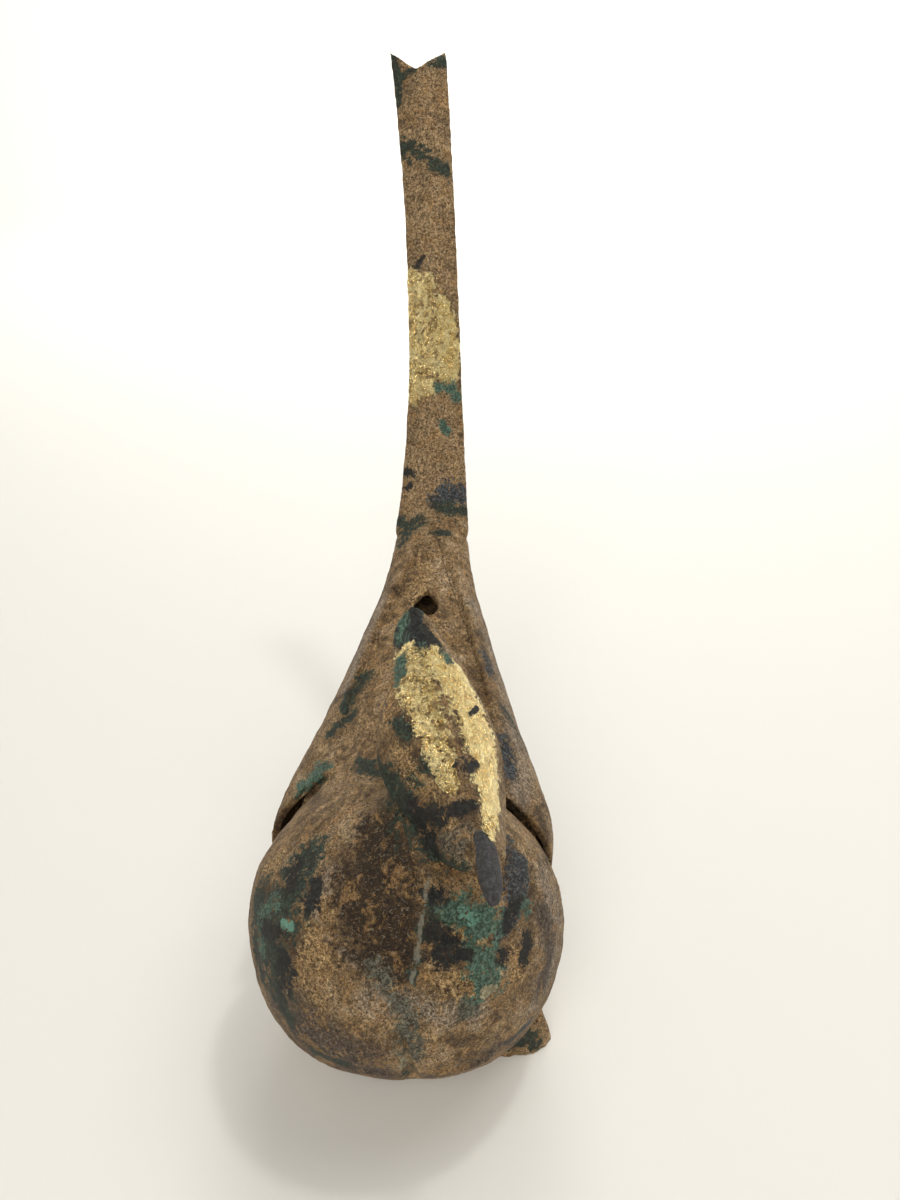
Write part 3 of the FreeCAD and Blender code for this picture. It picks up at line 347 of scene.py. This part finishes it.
def new_object(name, data):
    item = bpy.data.objects.new(name, data)
    bpy.context.scene.collection.objects.link(item)
    return item


def baked(item):
    """The object's mesh with its modifiers applied; the object itself is removed."""
    graph = bpy.context.evaluated_depsgraph_get()
    mesh = bpy.data.meshes.new_from_object(item.evaluated_get(graph))
    bpy.data.objects.remove(item)
    return mesh


def joined(nodes):
    """One mesh of several nodes."""
    form = bmesh.new()
    for node in nodes:
        form.from_mesh(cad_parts[node].data)
    bmesh.ops.remove_doubles(form, verts=form.verts, dist=TINY)
    mesh = bpy.data.meshes.new("joined")
    form.to_mesh(mesh)
    form.free()
    return mesh


def remeshed(mesh, smoothing):
    """Even skin over a mesh, smoothed so many times."""
    item = new_object("work", mesh)
    remesh = item.modifiers.new("remesh", "REMESH")
    remesh.mode = "VOXEL"
    remesh.voxel_size = FORM_VOXEL
    if smoothing:
        smooth = item.modifiers.new("smooth", "SMOOTH")
        smooth.factor = SMOOTHING_SHARE
        smooth.iterations = smoothing
    return baked(item)


def places(mesh):
    co = np.empty(len(mesh.vertices) * 3, np.float32)
    mesh.vertices.foreach_get("co", co)
    return co.reshape(-1, 3).astype(float)


def normals(mesh):
    no = np.empty(len(mesh.vertices) * 3, np.float32)
    mesh.vertex_normals.foreach_get("vector", no)
    return no.reshape(-1, 3).astype(float)


def put(mesh, co):
    mesh.vertices.foreach_set("co", co.astype(np.float32).ravel())
    mesh.update()


def keep_inside(co):
    """The places, held inside the box of the solids."""
    low, high = (np.array(corner) for corner in cad_box)
    return np.clip(co, low, high)


def stroke_field(co, stroke):
    """1 on a stroke's centre line, 0 at its edge, below 0 outside."""
    points = np.array(stroke, float)
    best = np.full(len(co), FAR_AWAY)
    if len(points) == 1:
        points = np.vstack([points, points])
    for a, b in zip(points, points[1:]):
        run = b[:3] - a[:3]
        length = max(run @ run, TINY)
        share = np.clip((co - a[:3]) @ run / length, 0, 1)
        gap = np.linalg.norm(co - a[:3] - share[:, None] * run, axis=1)
        wide = a[3] + share * (b[3] - a[3])
        best = np.maximum(best, 1 - gap / wide)
    return best


def smoothstep(value):
    value = np.clip(value, 0, 1)
    return value * value * (3 - 2 * value)


def bell(gap, width):
    return np.exp(-(gap / width) ** 2)


def relief(co):
    """Height in metres of the lumps, grain, hollow, worked lines and eyes at places in metres."""
    mm = co / MM
    lumps = np.array([noise.fractal(Vector(p) * LUMPS_PER_MM, LUMP_FALL, OCTAVE_RATIO, LUMP_OCTAVES)
                      for p in mm])
    grain = np.array([noise.fractal(Vector(p) * GRAINS_PER_MM + GRAIN_SHIFT, GRAIN_FALL, OCTAVE_RATIO,
                                    GRAIN_OCTAVES) for p in mm])
    height = lumps * LUMP_HEIGHT + grain * GRAIN_HEIGHT
    height -= HOLLOW_DEPTH * smoothstep(HOLLOW_STEEPNESS * stroke_field(mm, HOLLOW))
    for rise, line in WORKED_LINES:
        height += rise * smoothstep(stroke_field(mm, line))
    for eye in EYES:
        gap = np.linalg.norm(mm - np.array(eye), axis=1)
        height -= EYE_RING_DEPTH * bell(gap - EYE_RING_RADIUS, EYE_RING_WIDTH)
        height += PUPIL_HEIGHT * bell(gap, PUPIL_RADIUS)
    return height * MM


# ---------------------------------------------------------------- castings

form_mesh = remeshed(joined(CASTINGS), FORM_SMOOTHING)
form_co = places(form_mesh)
form_corners = [tuple(face.vertices) for face in form_mesh.polygons]
form_faces = BVHTree.FromPolygons([Vector(p) for p in form_co], form_corners)
form_lift = normals(form_mesh) * (relief(form_co) - SET_BACK)[:, None]
put(form_mesh, keep_inside(form_co + form_lift))
form_normals = normals(form_mesh)


def dress(node, overlap):
    """Copy of a casting whose outer surface lies on the common surface with its relief."""
    mesh = remeshed(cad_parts[node].data.copy(), 0)
    facing = normals(mesh)
    place = places(mesh) + facing * overlap
    shade = facing.copy()
    inside = np.ones(len(place))
    for index, start in enumerate(place):
        near, normal, face, _ = form_faces.find_nearest(Vector(start), SNAP_REACH)
        if near is None or normal.dot(Vector(facing[index])) < SNAP_AGREEMENT:
            continue
        corners = form_corners[face]
        weights = [1 / (TINY + (near - Vector(form_co[c])).length) for c in corners]
        blend = sum(form_normals[c] * w for c, w in zip(corners, weights))
        lift = sum(form_lift[c] * w for c, w in zip(corners, weights)) / sum(weights)
        place[index] = np.array(near) + lift
        shade[index] = blend / np.linalg.norm(blend)
        inside[index] = 0
    put(mesh, keep_inside(place))
    mesh.shade_smooth()
    mesh.normals_split_custom_set_from_vertices([tuple(n) for n in shade])
    mark(mesh, inside)
    return mesh


def mark(mesh, inside):
    """Stores the patina marks, painted shade and light among them, on a mesh as colour layers; a half
    is the edge of a mark.
    """
    mm = places(mesh) / MM
    fields = {kind: np.full(len(mm), FAR_AWAY) for _, kinds in CHANNELS for kind in kinds}
    for kind, points in STROKES + LEAF:
        fields[kind] = np.maximum(fields[kind], stroke_field(mm, points))
    fields["inside"] = 2 * inside - 1
    for layer, kinds in CHANNELS:
        values = np.stack([np.clip(0.5 + 0.5 * fields[kind], 0, 1) for kind in kinds], axis=1)
        attribute = mesh.color_attributes.new(layer, "FLOAT_COLOR", "POINT")
        attribute.data.foreach_set("color", values.astype(np.float32).ravel())


# ---------------------------------------------------------------- material helpers

# Mix node: its two value sockets and its result, for colours and for numbers.
MIX_SOCKETS = {"RGBA": (6, 7, 2), "FLOAT": (2, 3, 0)}


class Shader:
    """Small builder of a node material."""

    def __init__(self, name):
        self.material = bpy.data.materials.new(name)
        self.material.use_nodes = True
        self.tree = self.material.node_tree
        self.tree.nodes.clear()
        self.surface = self.tree.nodes.new("ShaderNodeBsdfPrincipled")
        output = self.tree.nodes.new("ShaderNodeOutputMaterial")
        self.tree.links.new(self.surface.outputs["BSDF"], output.inputs["Surface"])
        self.where = self.tree.nodes.new("ShaderNodeTexCoord").outputs["Object"]

    def link(self, value, socket):
        """Feeds a socket from another node's output, a colour or a number."""
        if isinstance(value, bpy.types.NodeSocket):
            self.tree.links.new(value, socket)
        elif isinstance(value, tuple):
            socket.default_value = (*value, 1.0)
        else:
            socket.default_value = value

    def paint(self, name, value):
        """Feeds a socket of the surface shader."""
        self.link(value, self.surface.inputs[name])

    def math(self, kind, *values):
        node = self.tree.nodes.new("ShaderNodeMath")
        node.operation = kind
        for value, socket in zip(values, node.inputs):
            self.link(value, socket)
        return node.outputs["Value"]

    def times(self, first, second):
        return self.math("MULTIPLY", first, second)

    def rest_of(self, value):
        return self.math("SUBTRACT", 1.0, value)

    def total(self, *terms):
        """Sum of values, each with its weight."""
        result = None
        for value, weight in terms:
            weighted = self.times(value, weight)
            result = weighted if result is None else self.math("ADD", result, weighted)
        return result

    def noise(self, scale, detail, roughness, distortion=0.0, stretch=None, shift=0.0):
        """Noise whose features are about 1 / scale metres across."""
        mapping = self.tree.nodes.new("ShaderNodeMapping")
        mapping.inputs["Location"].default_value = (shift, 0.37 * shift, -0.61 * shift)
        if stretch:
            mapping.inputs["Scale"].default_value = stretch
        self.tree.links.new(self.where, mapping.inputs["Vector"])
        node = self.tree.nodes.new("ShaderNodeTexNoise")
        node.inputs["Scale"].default_value = scale
        node.inputs["Detail"].default_value = detail
        node.inputs["Roughness"].default_value = roughness
        node.inputs["Distortion"].default_value = distortion
        self.tree.links.new(mapping.outputs["Vector"], node.inputs["Vector"])
        return node.outputs["Fac"]

    def cracks(self, scale):
        """Distance to the border of cells about 1 / scale metres across."""
        node = self.tree.nodes.new("ShaderNodeTexVoronoi")
        node.feature = "DISTANCE_TO_EDGE"
        node.inputs["Scale"].default_value = scale
        self.tree.links.new(self.where, node.inputs["Vector"])
        return node.outputs["Distance"]

    def step(self, value, low, high):
        """0 at low, 1 at high, smooth between."""
        node = self.tree.nodes.new("ShaderNodeMapRange")
        node.interpolation_type = "SMOOTHSTEP"
        self.link(value, node.inputs["Value"])
        node.inputs["From Min"].default_value = low
        node.inputs["From Max"].default_value = high
        return node.outputs["Result"]

    def ramp(self, value, stops):
        node = self.tree.nodes.new("ShaderNodeValToRGB")
        while len(node.color_ramp.elements) < len(stops):
            node.color_ramp.elements.new(0.5)
        for element, (place, colour) in zip(node.color_ramp.elements, stops):
            element.position = place
            element.color = (*colour, 1.0)
        self.link(value, node.inputs["Fac"])
        return node.outputs["Color"]

    def mix(self, share, first, second, data="RGBA", kind="MIX"):
        node = self.tree.nodes.new("ShaderNodeMix")
        node.data_type = data
        if data == "RGBA":
            node.blend_type = kind
        first_socket, second_socket, result = MIX_SOCKETS[data]
        self.link(share, node.inputs[0])
        self.link(first, node.inputs[first_socket])
        self.link(second, node.inputs[second_socket])
        return node.outputs[result]

    def layers(self):
        """Outputs of the stored patina marks, painted shade and light among them, by kind."""
        found = {}
        for layer, kinds in CHANNELS:
            node = self.tree.nodes.new("ShaderNodeVertexColor")
            node.layer_name = layer
            split = self.tree.nodes.new("ShaderNodeSeparateColor")
            self.tree.links.new(node.outputs["Color"], split.inputs["Color"])
            sources = [split.outputs["Red"], split.outputs["Green"], split.outputs["Blue"],
                       node.outputs["Alpha"]]
            found.update(zip(kinds, sources))
        return found

    def bump(self, height, distance, strength):
        node = self.tree.nodes.new("ShaderNodeBump")
        node.inputs["Strength"].default_value = strength
        node.inputs["Distance"].default_value = distance
        self.link(height, node.inputs["Height"])
        return node.outputs["Normal"]


# ---------------------------------------------------------------- materials

def patina_and_shade_material(name):
    """Mottled brown and ochre bronze with verdigris, black and gold leaf where they are marked, and
    painted shade under the breast and on the shaded side of the gold.
    """
    m = Shader(name)
    marks = m.layers()
    broad = m.noise(60, 4, 0.65, 0.6)
    mottle = m.noise(230, 5, 0.72, 0.6, shift=3.1)
    speck = m.noise(1000, 4, 0.75, 0.4, shift=7.7)
    grit = m.noise(2300, 3, 0.7, shift=1.3)
    streak = m.noise(520, 4, 0.75, 1.1, stretch=(1.0, 0.30, 0.42), shift=5.2)
    island = m.noise(430, 6, 0.75, 0.9, shift=19.0)
    # Each noise lies round 0.5, so their weighted sum lies round the number taken off.
    ragged = m.math("SUBTRACT", m.total((island, 0.8), (speck, 0.5), (mottle, 1.0)), 1.15)

    def edge(kind, softness=CRISP, wander=RAGGED):
        """Mask of a kind of mark with a ragged edge that stays near the mark."""
        value = m.math("ADD", marks[kind], m.times(ragged, wander))
        broken = m.step(value, 0.5 - softness, 0.5 + softness)
        return m.times(broken, m.step(marks[kind], 0.05, 0.30))

    def flecked(low, middle, high):
        """Colour that runs from low to high with the fine specks."""
        return m.ramp(speck, [(0.40, low), (0.5, middle), (0.60, high)])

    def streaked(low, middle, high):
        """Colour that runs from low to high with the long streaks."""
        return m.ramp(streak, [(0.38, low), (0.5, middle), (0.62, high)])

    def lay(colour, kind, softness, wander, share):
        """The colour with one kind of mark laid over it."""
        hues = PALETTE[kind]
        if kind == "tip":
            over = streaked(*hues)
        elif len(hues) == 1:
            over = hues[0]
        else:
            over = flecked(*hues)
        return m.mix(m.times(edge(kind, softness, wander), share), colour, over)

    def wash(colour, mask, share, over):
        """The colour with another over it where a mask is 1."""
        return m.mix(m.times(mask, share), colour, over)

    # metal and earthy patina, with painted shade under the breast
    tone = m.total((broad, 0.46), (mottle, 0.34), (island, 0.20))
    colour = m.ramp(tone, [(0.42, BROWN), (0.47, UMBER), (0.52, TAN), (0.59, SAND)])
    stray = m.step(m.noise(120, 6, 0.8, 0.9, shift=11.0), 0.62, 0.65)
    colour = wash(colour, stray, 0.85, flecked(*STRAY_GREEN))
    for row in EARTHS_AND_SHADE:
        colour = lay(colour, *row)
    rusty = m.step(m.noise(130, 6, 0.78, 0.8, shift=17.0), 0.53, 0.57)
    colour = wash(colour, rusty, 0.65, RUST)

    # fine pits, wandering grooves, pale flecks and the crusts over them
    colour = m.mix(1.0, colour, m.ramp(speck, STIPPLE), kind="MULTIPLY")
    grooves = m.step(m.noise(800, 3, 0.62, 2.2, shift=13.0), 0.52, 0.44)
    colour = wash(colour, grooves, 0.64, GROOVE_BROWN)
    flecks = m.step(m.noise(1100, 3, 0.7, 1.2, shift=29.0), 0.58, 0.64)
    colour = wash(colour, flecks, 0.55, PALE_FLECK)
    for row in CRUSTS:
        colour = lay(colour, *row)
    colour = wash(colour, m.step(streak, 0.56, 0.44), 0.28, FIBRE_BROWN)

    # gold leaf, with holes and losses; duller on the bird's right as painted shade, brighter on its
    # left as painted light
    whole = m.rest_of(m.math("MAXIMUM", edge("hole", wander=0.8), edge("green")))
    losses = m.noise(620, 6, 0.8, 0.5, shift=23.0)
    # More losses and duller gold on the bird's right, fewer on its left: partly wear, partly painted
    # shade and light.
    bright = m.times(m.times(edge("bright_lit_leaf", 0.03, 0.9), whole), m.step(losses, 0.36, 0.40))
    worn_and_shaded = m.times(m.times(edge("worn_shaded_leaf", 0.03, 1.0), whole), m.step(losses, 0.42, 0.46))
    leaf = m.math("MAXIMUM", bright, worn_and_shaded)
    tarnish = m.total((mottle, 0.5), (speck, 0.5))
    gold = m.mix(bright, m.ramp(tarnish, WORN_SHADED_GOLD), m.ramp(tarnish, BRIGHT_LIT_GOLD))
    m.paint("Base Color", m.mix(marks["inside"], m.mix(leaf, colour, gold), SOOT))

    gilded = m.times(leaf, m.rest_of(marks["inside"]))
    dull = m.mix(m.step(speck, 0.40, 0.60), 0.50, 0.80, "FLOAT")
    polished = m.mix(m.step(mottle, 0.42, 0.58), 0.14, 0.32, "FLOAT")
    m.paint("Metallic", m.times(gilded, 0.92))
    m.paint("Roughness", m.mix(gilded, dull, polished, "FLOAT"))
    m.paint("Specular IOR Level", 0.32)

    crackle = m.step(m.cracks(520), 0.0, 0.05)
    dents = m.noise(300, 3, 0.55, 0.3, shift=37.0)
    height = m.total((speck, 0.60), (grit, 0.25), (m.times(crackle, leaf), 0.30), (streak, 0.45),
                     (m.times(grooves, m.rest_of(leaf)), -0.16), (m.times(dents, leaf), 4.2))
    m.paint("Normal", m.bump(height, 1.5 * MM, 0.95))
    return m.material


def plain_material(name, low, high, rough, metallic, scale):
    """Worn metal of the hidden fittings: two colours mixed by fine and broad noise."""
    m = Shader(name)
    fine = m.noise(scale, 5, 0.7, 0.4)
    wear = m.noise(scale * 0.2, 4, 0.6, 0.8, shift=2.0)
    m.paint("Base Color", m.ramp(m.total((fine, 0.5), (wear, 0.5)), [(0.35, low), (0.65, high)]))
    m.paint("Roughness", m.mix(m.step(fine, 0.3, 0.7), rough - 0.12, rough + 0.12, "FLOAT"))
    m.paint("Metallic", metallic)
    m.paint("Normal", m.bump(fine, 0.6 * MM, 0.6))
    return m.material


def paper_material(name):
    m = Shader(name)
    m.paint("Base Color", (0.79, 0.772, 0.720))
    m.paint("Roughness", 0.8)
    return m.material


# ---------------------------------------------------------------- pieces

patina = patina_and_shade_material("patinated_bronze")
for node in CASTINGS:
    # The lid doesn't grow, so that its running gap stays open.
    piece = new_object(node + "_cast", dress(node, 0.0 if node == "lid" else SEAM_OVERLAP))
    piece.data.materials.clear()
    piece.data.materials.append(patina)
    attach(piece, "lid" if node == "lid" else "body")
    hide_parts(node)
bpy.data.meshes.remove(form_mesh)

inner = plain_material("inner_bronze", (0.03, 0.02, 0.012), (0.12, 0.08, 0.045), 0.65, 0.3, 700)
copper = plain_material("copper_sheet", (0.030, 0.022, 0.018), (0.20, 0.10, 0.06), 0.60, 0.6, 500)
FITTINGS = {"tail_pins": inner, "pan_rests": inner, "foot_rivets": inner, "core_plug": inner,
            "core_plug_rivets": inner, "ash_pan": copper}
for node, material in FITTINGS.items():
    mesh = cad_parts[node].data
    mesh.materials.clear()
    mesh.materials.append(material)

# ---------------------------------------------------------------- floor, in metres

COVE_RADIUS = 2.6
COVE_BEND = 0.7
COVE_HEIGHT = 1.7
COVE_INNER_RING = 0.6
COVE_SIDES = 96
BEND_STEPS = 12
# The floor lies this far below the resting plane, so that the two faces don't fight.
FLOOR_GAP = 0.05 * MM


def cove_profile():
    """Distance from the middle and height of each ring of the cove, from the floor up."""
    flat = COVE_RADIUS - COVE_BEND
    profile = [(COVE_INNER_RING, 0.0), (flat, 0.0)]
    for step in range(1, BEND_STEPS + 1):
        angle = math.pi / 2 * step / BEND_STEPS
        profile.append((flat + COVE_BEND * math.sin(angle), COVE_BEND * (1 - math.cos(angle))))
    profile.append((COVE_RADIUS, COVE_HEIGHT))
    return profile


def cove_ring(form, reach, rise):
    ring = []
    for side in range(COVE_SIDES):
        angle = 2 * math.pi * side / COVE_SIDES
        ring.append(form.verts.new((reach * math.cos(angle), reach * math.sin(angle), rise)))
    return ring


def paper_cove():
    """Round sheet of paper: flat under the object, turned up all round it."""
    form = bmesh.new()
    rings = [cove_ring(form, reach, rise) for reach, rise in cove_profile()]
    form.faces.new(rings[0])
    for lower, upper in zip(rings, rings[1:]):
        for side in range(COVE_SIDES):
            after = (side + 1) % COVE_SIDES
            form.faces.new((lower[after], lower[side], upper[side], upper[after]))
    for face in form.faces:
        face.smooth = True
    mesh = bpy.data.meshes.new("floor")
    form.to_mesh(mesh)
    form.free()
    return mesh


floor = new_object("floor", paper_cove())
floor.location = (0, 0, -FLOOR_GAP)
floor.data.materials.append(paper_material("pale_floor"))

# ---------------------------------------------------------------- light, in metres and watts

# Name, place, target, diameter, power, colour.
LIGHTS = [
    ("lamp", (0.37, 0.29, 1.54), (0, 0.05, 0.05), 0.14, 3.6, (1.0, 0.985, 0.96)),
    ("window", (0.44, 0.24, 1.15), (0, 0.05, 0.05), 0.75, 3.8, (1.0, 0.99, 0.97)),
    ("room", (-0.1, -1.0, 1.0), (0, 0.0, 0.05), 1.0, 10.5, (1.0, 0.98, 0.95)),
    ("backdrop", (0.0, 1.3, 1.5), (0, 2.4, 0.0), 0.9, 36, (1.0, 1.0, 1.0)),
]
SKY_COLOUR = (1.0, 0.99, 0.97, 1.0)
SKY_STRENGTH = 0.22

for name, place, target, diameter, power, colour in LIGHTS:
    lamp = bpy.data.lights.new(name, "AREA")
    lamp.shape = "DISK"
    lamp.size = diameter
    lamp.energy = power
    lamp.color = colour
    fitting = new_object(name, lamp)
    fitting.location = place
    fitting.rotation_euler = (Vector(target) - Vector(place)).to_track_quat("-Z", "Y").to_euler()

world = bpy.data.worlds.new("studio")
world.use_nodes = True
sky = world.node_tree.nodes["Background"]
sky.inputs["Color"].default_value = SKY_COLOUR
sky.inputs["Strength"].default_value = SKY_STRENGTH
bpy.context.scene.world = world

# ---------------------------------------------------------------- camera, fitted to the photograph

CAMERA_PLACE = Vector((28.7, -212.5, 305.5)) * MM
# Downwards, to the bird's right of +Y, and round the view's own axis.
PITCH, YAW, ROLL = math.radians(31.35), math.radians(-3.5), math.radians(-0.68)
# Both in millimetres, as Blender's cameras take them.
SENSOR_SIDE = 36
FOCAL_LENGTH = 27.9

forward = Vector((math.sin(YAW) * math.cos(PITCH), math.cos(YAW) * math.cos(PITCH), -math.sin(PITCH)))
level = Vector((math.cos(YAW), -math.sin(YAW), 0))
raised = level.cross(forward)
right = level * math.cos(ROLL) + raised * math.sin(ROLL)
upward = raised * math.cos(ROLL) - level * math.sin(ROLL)
lens = bpy.data.cameras.new("camera")
lens.sensor_fit = "AUTO"
lens.sensor_width = SENSOR_SIDE
lens.lens = FOCAL_LENGTH
lens.clip_start = 10 * MM
camera = new_object("camera", lens)
turn = Matrix((right, upward, -forward)).transposed().to_4x4()
camera.matrix_world = Matrix.Translation(CAMERA_PLACE) @ turn
bpy.context.scene.camera = camera
bpy.context.scene.view_settings.view_transform = "Standard"
